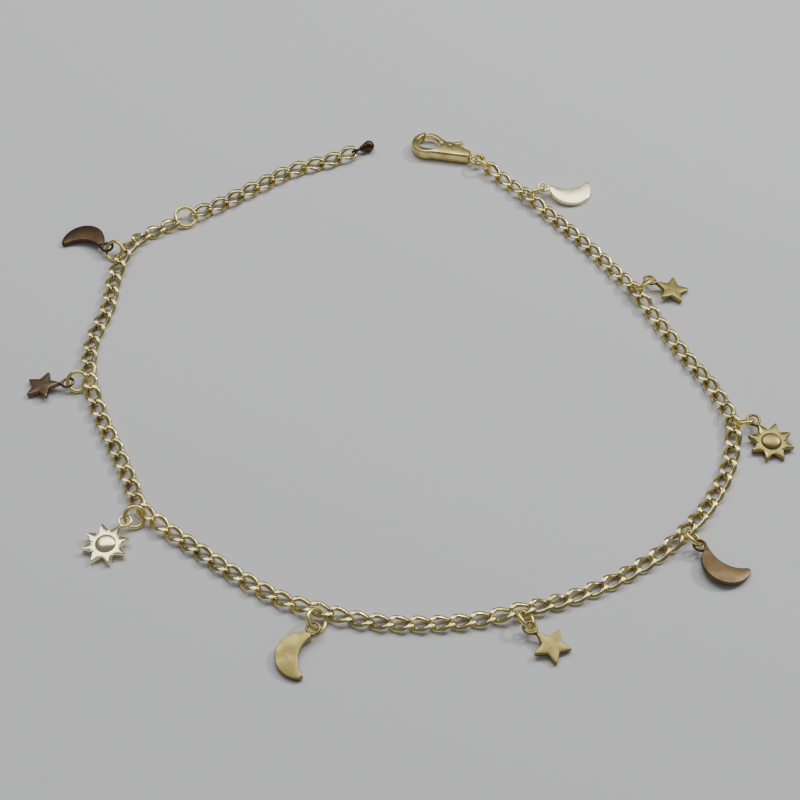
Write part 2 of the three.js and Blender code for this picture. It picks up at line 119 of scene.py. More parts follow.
def together(surfaces: list[Surface]) -> Surface:
    """Puts several surfaces into one mesh's arrays.

    Args:
        surfaces: closed surfaces.

    Returns:
        One surface with all their points and faces.
    """
    starts = np.cumsum([0] + [len(s.points) for s in surfaces[:-1]])
    return Surface(
        np.concatenate([s.points for s in surfaces]),
        np.concatenate([s.quads + k for s, k in zip(surfaces, starts)]),
        np.concatenate([s.triangles + k for s, k in zip(surfaces, starts)]),
        np.concatenate([s.rim for s in surfaces]),
    )


def skin(rows: np.ndarray, closed: bool, rim: np.ndarray | None = None) -> Surface:
    """Covers a row of closed sections: point (i, j) joins (i + 1, j) and (i, j + 1), both counted round.

    Args:
        rows: points, (sections, points round a section, 3).
        closed: whether the last section joins the first; otherwise each end closes at its middle.
        rim: how near a rim each point is, (sections, points round a section).

    Returns:
        The closed surface.
    """
    n, m = rows.shape[:2]
    i = np.arange(n if closed else n - 1)[:, None]
    j = np.arange(m)[None, :]
    after_i = (i + 1) % n
    after_j = (j + 1) % m
    quads = np.stack([i * m + j, after_i * m + j, after_i * m + after_j, i * m + after_j], -1).reshape(-1, 4)
    points = rows.reshape(-1, 3)
    near = np.zeros(n * m) if rim is None else rim.reshape(-1)
    if closed:
        return Surface(points, quads, np.zeros((0, 3), int), near).outward()
    k = np.arange(m)
    last = (n - 1) * m
    triangles = np.concatenate([
        np.stack([np.full(m, n * m), k, (k + 1) % m], -1),
        np.stack([np.full(m, n * m + 1), last + (k + 1) % m, last + k], -1),
    ])
    points = np.concatenate([points, rows[:1].mean(1), rows[-1:].mean(1)])
    near = np.concatenate([near, near[:1], near[-1:]])
    return Surface(points, quads, triangles, near).outward()


def unit(v: np.ndarray) -> np.ndarray:
    """Vectors of length one in the given directions."""
    return v / np.linalg.norm(v, axis=-1, keepdims=True)


def wire(
    centres: np.ndarray,
    outs: np.ndarray,
    radius: float,
    sides: int,
    closed: bool,
    swell: np.ndarray | float = 0.0,
) -> Surface:
    """Carries a section along a path: centre + (radius + swell) cos a * out + radius sin a * side.

    Args:
        centres: the path, (n, 3).
        outs: a direction across the path at each point, (n, 3).
        radius: the wire's radius.
        sides: points round the section.
        closed: whether the path closes on itself.
        swell: how much wider than round the wire is, one number or one for each point.

    Returns:
        The wire's surface.
    """
    if closed:
        along = unit(np.roll(centres, -1, 0) - np.roll(centres, 1, 0))
    else:
        along = unit(np.gradient(centres, axis=0))
    outs = unit(outs - along * np.einsum("ij,ij->i", outs, along)[:, None])
    across = np.cross(along, outs)
    angle = TURN * np.arange(sides) / sides
    wide = (radius + np.broadcast_to(np.asarray(swell, float), (len(centres),)))[:, None, None]
    rows = centres[:, None] + wide * np.cos(angle)[None, :, None] * outs[:, None]
    rows = rows + radius * np.sin(angle)[None, :, None] * across[:, None]
    return skin(rows, closed)


def jump_ring(
    radius: float, thickness: float, cut: float = 0.0, seam: float = 200.0, steps: int = 44
) -> Surface:
    """A round ring in the XY plane: a wire round a circle, open by a fine saw cut where one is given.

    Args:
        radius: from the ring's middle to the wire's middle.
        thickness: the wire's diameter.
        cut: the width of the saw cut, or 0 for a soldered ring.
        seam: where the cut is, in degrees from +X.
        steps: sections round the ring.

    Returns:
        The ring's surface.
    """
    half = cut / 2 / radius
    turn = np.linspace(half, TURN - half, steps, endpoint=cut > 0) + math.radians(seam)
    outs = np.stack([np.cos(turn), np.sin(turn), np.zeros(steps)], -1)
    return wire(radius * outs, outs, thickness / 2, RING_SIDES, cut == 0)


def blob(middle: tuple[float, float, float], radii: tuple[float, float, float]) -> Surface:
    """A bead of solder: an ellipsoid about X, cos(latitude) along it and sin(latitude) wide.

    Args:
        middle: its middle.
        radii: its half lengths.

    Returns:
        The bead's surface.
    """
    sections, sides, pole = 12, 16, 0.08
    latitude = np.linspace(pole, math.pi - pole, sections)[:, None]
    turn = (TURN * np.arange(sides) / sides)[None, :]
    rows = np.stack([
        np.cos(latitude) * np.ones_like(turn),
        np.sin(latitude) * np.cos(turn),
        np.sin(latitude) * np.sin(turn),
    ], -1)
    return skin(rows * np.array(radii) + np.array(middle), False)


def strip(outer: np.ndarray, inner: np.ndarray, height: np.ndarray, edge: float, ends: float) -> Surface:
    """A flat bar between two outlines, with rounded edges and blunt, rounded ends.

    A section runs from the inner outline to the outer one. Its corners are quarter circles of the edge's
    radius, most worn in their middle. Near each end the section shrinks as a circle does: by the square
    root of 1 - (1 - d) ** 2, where d is the share of the rounded length between it and the end.

    Args:
        outer: points of the outer outline in the plane, (n, 2).
        inner: points of the inner outline, (n, 2).
        height: the bar's full height at each point, (n,).
        edge: the radius of the edges.
        ends: the length over which the ends are rounded.

    Returns:
        The bar's surface, lying about z = 0.
    """
    blunt, corner_share = 0.01, 0.9
    middle = (outer + inner) / 2
    reach = np.concatenate([[0], np.cumsum(np.linalg.norm(np.diff(middle, axis=0), axis=1))])
    near_end = np.clip(np.minimum(reach, reach[-1] - reach) / ends, 0, 1)
    shrink = np.sqrt(np.clip(1 - (1 - near_end) ** 2, blunt, 1))
    half_width = np.linalg.norm(outer - inner, axis=1) / 2 * shrink
    half_height = height / 2 * shrink
    corner = np.minimum(edge, corner_share * np.minimum(half_width, half_height))
    quarter = np.linspace(0, math.pi / 2, EDGE_POINTS)
    turn = np.concatenate([quarter + k * math.pi / 2 for k in range(4)])
    sign_a = np.repeat([1, -1, -1, 1], EDGE_POINTS)
    sign_b = np.repeat([1, 1, -1, -1], EDGE_POINTS)
    a = sign_a * (half_width - corner)[:, None] + corner[:, None] * np.cos(turn)
    b = sign_b * (half_height - corner)[:, None] + corner[:, None] * np.sin(turn)
    across = unit(outer - inner)
    flat = middle[:, None] + a[..., None] * across[:, None]
    near = np.broadcast_to(np.tile(EDGE_WEAR, 4), a.shape)
    return skin(np.concatenate([flat, b[..., None]], -1), False, near.copy())


def even(points: np.ndarray, count: int) -> np.ndarray:
    """Points at even distances along a broken line.

    Args:
        points: the line's corners, (n, 2) or (n, 3).
        count: how many points.

    Returns:
        The points, the first and last ones included.
    """
    reach = np.concatenate([[0], np.cumsum(np.linalg.norm(np.diff(points, axis=0), axis=1))])
    at = np.linspace(0, reach[-1], count)
    return np.stack([np.interp(at, reach, points[:, k]) for k in range(points.shape[1])], -1)


def arc(
    centre: tuple[float, float], radius: float, start: float, end: float, count: int = 40
) -> np.ndarray:
    """Points on a circle's arc: centre + radius * (cos a, sin a), with the angles in degrees."""
    turn = np.radians(np.linspace(start, end, count))
    return np.stack([centre[0] + radius * np.cos(turn), centre[1] + radius * np.sin(turn)], -1)


def rotation(x: float = 0.0, y: float = 0.0, z: float = 0.0) -> np.ndarray:
    """The turn about X first, then Y, then Z, in degrees, as a 3x3 matrix."""
    turns = [Matrix.Rotation(math.radians(a), 3, n) for a, n in ((x, "X"), (y, "Y"), (z, "Z"))]
    return np.array(turns[2] @ turns[1] @ turns[0])


# Finishes, and copies of the charm gold painted lighter or darker as painted light and shade


class Slot(Enum):
    """The record's material slots."""

    CHAIN = "chain_gold"
    RING = "ring_gold"
    CHARM = "charm_gold"
    CLASP = "clasp_gold"


class Body(Enum):
    """The record's bodies."""

    ANKLET = "anklet"
    LEVER = "lever"


@dataclass(frozen=True)
class GoldFinish:
    """One gold-coloured plating, or a copy of one painted lighter or darker as painted light and shade.

    Args:
        name: the material's name.
        colour: the clean metal's colour, linear.
        tarnish: the colour of its duller patches.
        amount: how far the patches take over, 0 to 1.
        roughness: the clean metal's roughness.
        dullness: how much rougher the patches are.
        relief: depth of the fine scratches in millimetres.
        grain: size of the patches in millimetres.
    """

    name: str
    colour: tuple[float, float, float]
    tarnish: tuple[float, float, float]
    amount: float
    roughness: float
    dullness: float
    relief: float
    grain: float

    def material(self) -> bpy.types.Material:
        """The metal, its colour and roughness in patches, worn bright at rims. It is made once for its name.

        Returns:
            The material.
        """
        if self.name in bpy.data.materials:
            return bpy.data.materials[self.name]
        material = bpy.data.materials.new(self.name)
        material.use_nodes = True
        tree = material.node_tree
        shader = tree.nodes["Principled BSDF"]
        shader.inputs["Metallic"].default_value = 1.0
        where = tree.nodes.new("ShaderNodeTexCoord")
        rim = tree.nodes.new("ShaderNodeAttribute")
        rim.attribute_name = "rim"
        patches = tree.nodes.new("ShaderNodeGroup")
        patches.node_tree = plating_group()
        patches.inputs["Clean"].default_value = (*self.colour, 1)
        patches.inputs["Tarnish"].default_value = (*self.tarnish, 1)
        patches.inputs["Amount"].default_value = self.amount
        patches.inputs["Scale"].default_value = 1 / (self.grain * MM)
        patches.inputs["Smooth Roughness"].default_value = self.roughness
        patches.inputs["Dull Roughness"].default_value = self.roughness + self.dullness
        scratches = tree.nodes.new("ShaderNodeGroup")
        scratches.node_tree = scratch_group()
        bump = tree.nodes.new("ShaderNodeBump")
        bump.inputs["Distance"].default_value = self.relief * MM
        tree.links.new(where.outputs["Object"], patches.inputs["Vector"])
        tree.links.new(where.outputs["Object"], scratches.inputs["Vector"])
        tree.links.new(rim.outputs["Fac"], patches.inputs["Rim"])
        tree.links.new(patches.outputs["Color"], shader.inputs["Base Color"])
        tree.links.new(patches.outputs["Roughness"], shader.inputs["Roughness"])
        tree.links.new(scratches.outputs["Height"], bump.inputs["Height"])
        tree.links.new(bump.outputs["Normal"], shader.inputs["Normal"])
        return material


def new_group(
    name: str, inputs: list[tuple[str, str]], outputs: list[tuple[str, str]]
) -> bpy.types.NodeTree:
    """Starts a shader node group with named sockets.

    Args:
        name: the group's name.
        inputs: (name, socket type) pairs.
        outputs: (name, socket type) pairs.

    Returns:
        The group, with its input and output nodes named "in" and "out".
    """
    group = bpy.data.node_groups.new(name, "ShaderNodeTree")
    for label, kind in inputs:
        group.interface.new_socket(label, in_out="INPUT", socket_type=kind)
    for label, kind in outputs:
        group.interface.new_socket(label, in_out="OUTPUT", socket_type=kind)
    group.nodes.new("NodeGroupInput").name = "in"
    group.nodes.new("NodeGroupOutput").name = "out"
    return group


def plating_group() -> bpy.types.NodeTree:
    """The patches of duller metal, and the bright wear along rims. It is made once and kept by its name.

    The patches are noise, stretched from 0 where it is low to 1 where it is high, less the rim's wear.

    Returns:
        The node group.
    """
    if "plating patches" in bpy.data.node_groups:
        return bpy.data.node_groups["plating patches"]
    value, colour = "NodeSocketFloat", "NodeSocketColor"
    detail, patch_from, patch_to = 3.0, 0.38, 0.66
    group = new_group(
        "plating patches",
        [("Vector", "NodeSocketVector"), ("Clean", colour), ("Tarnish", colour), ("Amount", value),
         ("Scale", value), ("Smooth Roughness", value), ("Dull Roughness", value), ("Rim", value)],
        [("Color", colour), ("Roughness", value)],
    )
    nodes, links = group.nodes, group.links
    noise = nodes.new("ShaderNodeTexNoise")
    noise.inputs["Detail"].default_value = detail
    links.new(nodes["in"].outputs["Vector"], noise.inputs["Vector"])
    links.new(nodes["in"].outputs["Scale"], noise.inputs["Scale"])
    spread = nodes.new("ShaderNodeMapRange")
    spread.inputs["From Min"].default_value = patch_from
    spread.inputs["From Max"].default_value = patch_to
    links.new(noise.outputs["Fac"], spread.inputs["Value"])
    worn = nodes.new("ShaderNodeMath")
    worn.operation = "SUBTRACT"
    worn.use_clamp = True
    links.new(spread.outputs["Result"], worn.inputs[0])
    links.new(nodes["in"].outputs["Rim"], worn.inputs[1])
    share = nodes.new("ShaderNodeMath")
    share.operation = "MULTIPLY"
    links.new(worn.outputs["Value"], share.inputs[0])
    links.new(nodes["in"].outputs["Amount"], share.inputs[1])
    blend = nodes.new("ShaderNodeMix")
    blend.data_type = "RGBA"
    factor, first, second = (blend.inputs[k] for k in (0, 6, 7))
    blended = blend.outputs[2]
    links.new(share.outputs["Value"], factor)
    links.new(nodes["in"].outputs["Clean"], first)
    links.new(nodes["in"].outputs["Tarnish"], second)
    links.new(blended, nodes["out"].inputs["Color"])
    rough = nodes.new("ShaderNodeMapRange")
    links.new(worn.outputs["Value"], rough.inputs["Value"])
    links.new(nodes["in"].outputs["Smooth Roughness"], rough.inputs["To Min"])
    links.new(nodes["in"].outputs["Dull Roughness"], rough.inputs["To Max"])
    links.new(rough.outputs["Result"], nodes["out"].inputs["Roughness"])
    return group


def scratch_group() -> bpy.types.NodeTree:
    """Fine handling scratches: noise stretched along one direction. It is made once and kept by its name.

    Returns:
        The node group.
    """
    if "handling scratches" in bpy.data.node_groups:
        return bpy.data.node_groups["handling scratches"]
    lay, fineness, detail = math.radians(31), (900.0, 9000.0, 3000.0), 2.0
    group = new_group(
        "handling scratches", [("Vector", "NodeSocketVector")], [("Height", "NodeSocketFloat")]
    )
    nodes, links = group.nodes, group.links
    turn = nodes.new("ShaderNodeMapping")
    turn.inputs["Rotation"].default_value = (0.0, 0.0, lay)
    turn.inputs["Scale"].default_value = fineness
    noise = nodes.new("ShaderNodeTexNoise")
    noise.inputs["Scale"].default_value = 1.0
    noise.inputs["Detail"].default_value = detail
    links.new(nodes["in"].outputs["Vector"], turn.inputs["Vector"])
    links.new(turn.outputs["Vector"], noise.inputs["Vector"])
    links.new(noise.outputs["Fac"], nodes["out"].inputs["Height"])
    return group


POLISHED = GoldFinish(
    "polished gold plating", (0.82, 0.70, 0.33), (0.28, 0.235, 0.10),
    amount=0.65, roughness=0.15, dullness=0.14, relief=0.004, grain=1.6,
)
RING_GOLD = GoldFinish(
    "bright ring plating", (1.0, 0.84, 0.30), (0.62, 0.50, 0.15),
    amount=0.45, roughness=0.2, dullness=0.1, relief=0.003, grain=1.4,
)
# A copy of the charm gold painted paler and lighter: painted light.
PAINTED_LIGHT_CHARM_GOLD = GoldFinish(
    "charm gold painted light", (1.0, 0.90, 0.58), (0.84, 0.71, 0.38),
    amount=0.35, roughness=0.17, dullness=0.09, relief=0.003, grain=1.6,
)
# A rougher copy of the charm gold painted much darker: painted shade.
PAINTED_SHADE_SATIN_GOLD = GoldFinish(
    "satin charm gold painted shade", (0.34, 0.28, 0.10), (0.22, 0.17, 0.055),
    amount=0.55, roughness=0.3, dullness=0.12, relief=0.004, grain=1.6,
)
# A brown-tinted copy of the charm gold painted dark: painted shade.
PAINTED_SHADE_AMBER_GOLD = GoldFinish(
    "amber charm gold painted shade", (0.15, 0.105, 0.055), (0.09, 0.055, 0.03),
    amount=0.8, roughness=0.3, dullness=0.14, relief=0.004, grain=2.6,
)
# A brown copy of the charm gold painted dark: painted shade.
PAINTED_SHADE_BROWN_GOLD = GoldFinish(
    "brown charm gold painted shade", (0.19, 0.135, 0.085), (0.10, 0.068, 0.045),
    amount=0.6, roughness=0.3, dullness=0.14, relief=0.004, grain=1.6,
)
# A near-black brown copy of the gold, for a charm and the end bead: painted deep shade.
PAINTED_DEEP_SHADE_UMBER_GOLD = GoldFinish(
    "umber gold painted deep shade", (0.095, 0.060, 0.034), (0.05, 0.03, 0.018),
    amount=0.6, roughness=0.3, dullness=0.14, relief=0.004, grain=1.6,
)
CAST = GoldFinish(
    "cast clasp plating", (0.76, 0.64, 0.26), (0.30, 0.25, 0.08),
    amount=0.5, roughness=0.18, dullness=0.16, relief=0.005, grain=1.4,
)


def plain_object(name: str, surface: Surface) -> bpy.types.Object:
    """Puts a surface into a new mesh object, point for point.

    Args:
        name: the object's name.
        surface: its surface.

    Returns:
        The object.
    """
    mesh = bpy.data.meshes.new(name)
    mesh.from_pydata(surface.points.tolist(), [], surface.quads.tolist() + surface.triangles.tolist())
    made = bpy.data.objects.new(name, mesh)
    bpy.context.scene.collection.objects.link(made)
    return made


def make_piece(
    name: str,
    surface: Surface,
    finish: bpy.types.Material,
    node: str,
    body: Body = Body.ANKLET,
) -> None:
    """Puts a surface into a mesh, in metres, and hangs it in the frame.

    Args:
        name: the piece's name.
        surface: its surface in millimetres, in place.
        finish: its material.
        node: the model's node that it replaces.
        body: the body that it rides on.
    """
    piece = plain_object(name, surface.placed(MM * np.eye(3), np.zeros(3)))
    mesh = piece.data
    mesh.polygons.foreach_set("use_smooth", np.ones(len(mesh.polygons), bool))
    mesh.set_sharp_from_angle(angle=math.radians(SHARP_ANGLE))
    rim = mesh.attributes.new("rim", "FLOAT", "POINT")
    rim.data.foreach_set("value", surface.rim)
    mesh.materials.append(finish)
    mesh.update()
    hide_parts(node)
    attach(piece, body.value)
    LOG.info("%s: %d points, %d faces", name, len(mesh.vertices), len(mesh.polygons))


# Chain


@dataclass(frozen=True)
class Link:
    """A flat twisted link, its sizes in millimetres.

    Args:
        length: over the solid model's link.
        width: over all.
        thickness: of its wire.
        hand: which way it twists, 1 or -1.
        fullness: how square its outline is. 1 is an ellipse, and less is fuller.
        twist: from end to end, in degrees.
        swell: how much wider the wire is along the sides.
        ground: height above the link's middle at which its top is ground flat.
        drawn: points at which its outline is worked out.
        sections: sections round the link.
        sides: points round its wire.
    """

    length: float
    width: float
    thickness: float
    hand: int
    fullness: float = 0.75
    twist: float = -90.0
    swell: float = 0.13
    ground: float = 0.5
    drawn: int = 721
    sections: int = 28
    sides: int = 10

    @property
    def pitch(self) -> float:
        """From one link to the next."""
        return self.length - 2 * self.thickness + LINK_SOLDER

    @property
    def end(self) -> float:
        """From the link's middle to its end wire's middle, in the solid model."""
        return (self.length - self.thickness) / 2

    def surface(self) -> Surface:
        """One link along X, just long enough to touch its neighbours.

        Its wire follows (e cos t, w sign(sin t) |sin t| ** fullness) at even distances, and each point is
        turned about X in proportion to how far along the link it lies. The wire is pressed wider, inwards,
        along the sides, with the square of the distance from the link's axis, and the top is ground flat.

        Returns:
            The link's surface.
        """
        end = (self.pitch + self.thickness) / 2
        half = (self.width - self.thickness) / 2
        t = np.linspace(0, TURN, self.drawn)
        full = np.sign(np.sin(t)) * np.abs(np.sin(t)) ** self.fullness
        flat = even(np.stack([end * np.cos(t), half * full], -1), self.sections + 1)[:-1]
        run = np.roll(flat, -1, 0) - np.roll(flat, 1, 0)
        away = np.stack([run[:, 1], -run[:, 0]], -1)
        turn = self.hand * math.radians(self.twist) / 2 * flat[:, 0] / end
        pressed = self.swell * (flat[:, 1] / half) ** 2
        flat = flat - unit(away) * pressed[:, None]

        def turned(v: np.ndarray) -> np.ndarray:
            """The plane vectors, turned about X."""
            return np.stack([v[:, 0], v[:, 1] * np.cos(turn), v[:, 1] * np.sin(turn)], -1)

        link = wire(turned(flat), turned(away), self.thickness / 2, self.sides, True, pressed)
        link.points[:, 2] = np.minimum(link.points[:, 2], self.ground)
        return link


MAIN_LINK = Link(3.49, 2.4, 0.5, 1)
EXTENDER_LINK = Link(3.92, 2.75, 0.56, -1)
MAIN_LINKS = 88
EXTENDER_LINKS = 10


@dataclass(frozen=True)
class Ring:
    """A jump ring's width over all and wire, in millimetres, and how far it leans."""

    width: float
    thickness: float
    lean: float

    @property
    def radius(self) -> float:
        """From the ring's middle to its wire's middle."""
        return (self.width - self.thickness) / 2

    @property
    def height(self) -> float:
        """How high the leaning ring's middle stands when it rests on the surface."""
        return self.radius * abs(math.sin(math.radians(self.lean))) + self.thickness / 2

    def held(self, thickness: float) -> float:
        """How far into this ring the middle of another wire reaches."""
        return (self.thickness + thickness) / 2 + HANG_GAP


CLASP_RING = Ring(3.3, 0.5, -45.0)
JOINING_RING = Ring(3.8, 0.62, 26.0)
DROP_LOOP = Ring(1.7, 0.4, -45.0)
DROP_WIDTH = 1.8
DROP_LENGTH = 2.5
CHARM_RING_WIDTH = 3.3
CHARM_RING_WIRE = 0.56


class Kind(Enum):
    """The three kinds of stamped charm."""

    MOON = "moon"
    STAR = "star"
    SUN = "sun"


@dataclass(frozen=True)
class Lying:
    """How one charm lies, its angles in degrees.

    Args:
        kind: which kind of charm.
        number: which of its kind.
        link: the link that holds it, counted from 1 at the clasp.
        swing: of its jump ring, from square to the chain.
        heading: the way that the charm points, from +X.
        lean: of its jump ring.
        roll: of the charm, about its own length.
        finish: its gold, painted lighter or darker as painted light and shade.
    """

    kind: Kind
    number: int
    link: int
    swing: float
    heading: float
    lean: float
    roll: float
    finish: GoldFinish

    @property
    def ring(self) -> Ring:
        """The jump ring that carries it."""
        return Ring(CHARM_RING_WIDTH, CHARM_RING_WIRE, self.lean)


# Each charm gets a copy of the charm gold painted lighter or darker: painted light and shade.
CHARMS = (
    Lying(Kind.MOON, 1, 4, -6, 13, -45, 8, PAINTED_LIGHT_CHARM_GOLD),
    Lying(Kind.STAR, 1, 14, 15, -26, -48, -3, PAINTED_SHADE_SATIN_GOLD),
    Lying(Kind.SUN, 1, 25, 10, -62, -42, 3, PAINTED_SHADE_SATIN_GOLD),
    Lying(Kind.MOON, 2, 33, -20, -28, -45, -3, PAINTED_SHADE_AMBER_GOLD),
    Lying(Kind.STAR, 2, 43, 0, -43, -45, 2, PAINTED_SHADE_SATIN_GOLD),
    Lying(Kind.MOON, 3, 53, 0, -99, -40, 0, PAINTED_SHADE_SATIN_GOLD),
    Lying(Kind.SUN, 2, 64, -17, -122, -44, -2, PAINTED_LIGHT_CHARM_GOLD),
    Lying(Kind.STAR, 3, 74, -6, -177, -45, 3, PAINTED_SHADE_BROWN_GOLD),
    Lying(Kind.MOON, 4, 84, -20, 170, -45, -4, PAINTED_DEEP_SHADE_UMBER_GOLD),
)


@dataclass
class Course:
    """Where everything on the chain lies, by its distance along the route in millimetres."""

    spread: float = 3.4
    charm_drop: float = 0.22
    line: np.ndarray = field(init=False)
    reach: np.ndarray = field(init=False)
    start: float = field(init=False)
    joint: float = field(init=False)
    extender: float = field(init=False)
    drop: float = field(init=False)
    low: float = field(init=False)
    low_extender: float = field(init=False)
    rises: list[tuple[float, float]] = field(init=False)

    def __post_init__(self) -> None:
        """Works out the smooth route and the places of the rings, the joint and the drop."""
        self.line = self.smooth(np.array(ROUTE))
        steps = np.linalg.norm(np.diff(self.line, axis=0), axis=1)
        self.reach = np.concatenate([[0], np.cumsum(steps)])
        main, extender = MAIN_LINK, EXTENDER_LINK
        self.start = CLASP_RING.radius - CLASP_RING.held(main.thickness) + main.end
        last = self.start + (MAIN_LINKS - 1) * main.pitch
        self.joint = last + main.end - JOINING_RING.held(main.thickness) + JOINING_RING.radius
        far_side = self.joint + JOINING_RING.radius
        self.extender = far_side - JOINING_RING.held(extender.thickness) + extender.end
        tail = self.extender + (EXTENDER_LINKS - 1) * extender.pitch
        self.drop = tail + extender.end - DROP_LOOP.held(extender.thickness) + DROP_LOOP.radius
        self.low = -MAIN_LINK.surface().points[:, 2].min()
        self.low_extender = -EXTENDER_LINK.surface().points[:, 2].min()
        self.rises = [
            (0.0, CLASP_RING.height),
            *((self.link_at(c.link), c.ring.height - self.charm_drop) for c in CHARMS),
            (self.joint, JOINING_RING.height),
            (self.drop, DROP_WIDTH / 2),
        ]

    @staticmethod
    def smooth(corners: np.ndarray) -> np.ndarray:
        """A centripetal Catmull-Rom curve through the corners, in equal steps over each span.

        Each span is a cubic whose end slopes weigh the neighbouring steps by the square root of their
        lengths, and the first and last steps are repeated beyond the ends.

        Args:
            corners: the points, (n, 2).

        Returns:
            The dense line, (per_span (n - 1) + 1, 2).
        """
        per_span = 80
        pad = np.concatenate([2 * corners[:1] - corners[1:2], corners, 2 * corners[-1:] - corners[-2:-1]])
        p0, p1, p2, p3 = pad[:-3], pad[1:-2], pad[2:-1], pad[3:]
        spans = ((p0, p1), (p1, p2), (p2, p3))
        d0, d1, d2 = (np.linalg.norm(b - a, axis=1)[:, None] ** 0.5 for a, b in spans)
        m1 = ((p1 - p0) / d0 - (p2 - p0) / (d0 + d1) + (p2 - p1) / d1) * d1
        m2 = ((p2 - p1) / d1 - (p3 - p1) / (d1 + d2) + (p3 - p2) / d2) * d1
        t = np.arange(per_span)[None, :, None] / per_span
        square = 3 * (p2 - p1) - 2 * m1 - m2
        cube = 2 * (p1 - p2) + m1 + m2
        dense = p1[:, None] + t * m1[:, None] + t**2 * square[:, None] + t**3 * cube[:, None]
        return np.concatenate([dense.reshape(-1, 2), corners[-1:]])

    def link_at(self, number: int) -> float:
        """The distance along the route of a main link, counted from 1 at the clasp."""
        return self.start + (number - 1) * MAIN_LINK.pitch

    def flat(self, s: np.ndarray) -> tuple[np.ndarray, np.ndarray]:
        """The route at some distances, straight on beyond its ends.

        Args:
            s: distances, (n,).

        Returns:
            Points and directions in the plane, (n, 2) each.
        """
        slopes = unit(np.gradient(self.line, axis=0))
        inside = np.clip(s, 0, self.reach[-1])
        along = unit(np.stack([np.interp(inside, self.reach, slopes[:, k]) for k in (0, 1)], -1))
        point = np.stack([np.interp(inside, self.reach, self.line[:, k]) for k in (0, 1)], -1)
        return point + along * (s - inside)[:, None], along

    def resting(self, s: np.ndarray) -> np.ndarray:
        """The height of the lying chain's middle.

        Over the joining ring it goes from the main chain's height to the extender's by 3 d ** 2 - 2 d ** 3,
        where d is the share of the ring passed.

        Args:
            s: distances along the route, (n,).

        Returns:
            The heights, (n,).
        """
        share = np.clip((s - self.joint + JOINING_RING.radius) / (2 * JOINING_RING.radius), 0, 1)
        share = share * share * (3 - 2 * share)
        return self.low + (self.low_extender - self.low) * share

    def height(self, s: np.ndarray) -> np.ndarray:
        """The chain's height: the resting height and a bell-shaped rise at each ring that holds it up.

        A rise is its lift times e ** -(d ** 2), where d is the distance from the ring over the spread.

        Args:
            s: distances along the route, (n,).

        Returns:
            The heights, (n,).
        """
        total = self.resting(s)
        for at, top in self.rises:
            lift = max(0.0, top - float(self.resting(np.array([at]))[0]))
            total = total + lift * np.exp(-(((s - at) / self.spread) ** 2))
        return total

    def frames(self, s: np.ndarray) -> tuple[np.ndarray, np.ndarray]:
        """Places on the chain, whose slope there is the height's change over a short step.

        Args:
            s: distances along the route, (n,).

        Returns:
            Points (n, 3) and turns (n, 3, 3), whose columns point along, across and up.
        """
        flat, run = self.flat(s)
        step = 0.05
        slope = (self.height(s + step) - self.height(s - step)) / (2 * step)
        along = unit(np.concatenate([run, slope[:, None]], -1))
        across = np.stack([-run[:, 1], run[:, 0], np.zeros(len(s))], -1)
        up = np.cross(along, across)
        return np.concatenate([flat, self.height(s)[:, None]], -1), np.stack([along, across, up], -1)

    def spot(self, s: float) -> tuple[np.ndarray, float]:
        """The point in the plane at a distance along the route, and the heading there in degrees."""
        point, run = self.flat(np.array([s]))
        return point[0], math.degrees(math.atan2(run[0, 1], run[0, 0]))


@dataclass
class Chains:
    """The two halves of the main chain and the extender."""

    course: Course
    shift: np.ndarray

    def run(self, link: Link, start: float, numbers: range) -> Surface:
        """Places one link at each step of its pitch along the route.

        Args:
            link: the link.
            start: the distance of link 0 along the route.
            numbers: which links.

        Returns:
            All the links' surfaces.
        """
        one = link.surface()
        points, turns = self.course.frames(start + np.array(numbers) * link.pitch)
        return together([one.placed(turn, point + self.shift) for point, turn in zip(points, turns)])

    def build(self) -> None:
        """Makes the three lengths of chain."""
        finish = POLISHED.material()
        half = round(MAIN_LINKS / 2)
        main, extender = self.course.start, self.course.extender
        parts = (
            ("curb_chain_right", "main_chain_right", MAIN_LINK, main, range(half)),
            ("curb_chain_left", "main_chain_left", MAIN_LINK, main, range(half, MAIN_LINKS)),
            ("curb_chain_extender", "extender_chain", EXTENDER_LINK, extender, range(EXTENDER_LINKS)),
        )
        for name, node, link, start, numbers in parts:
            make_piece(name, self.run(link, start, numbers), finish, node)


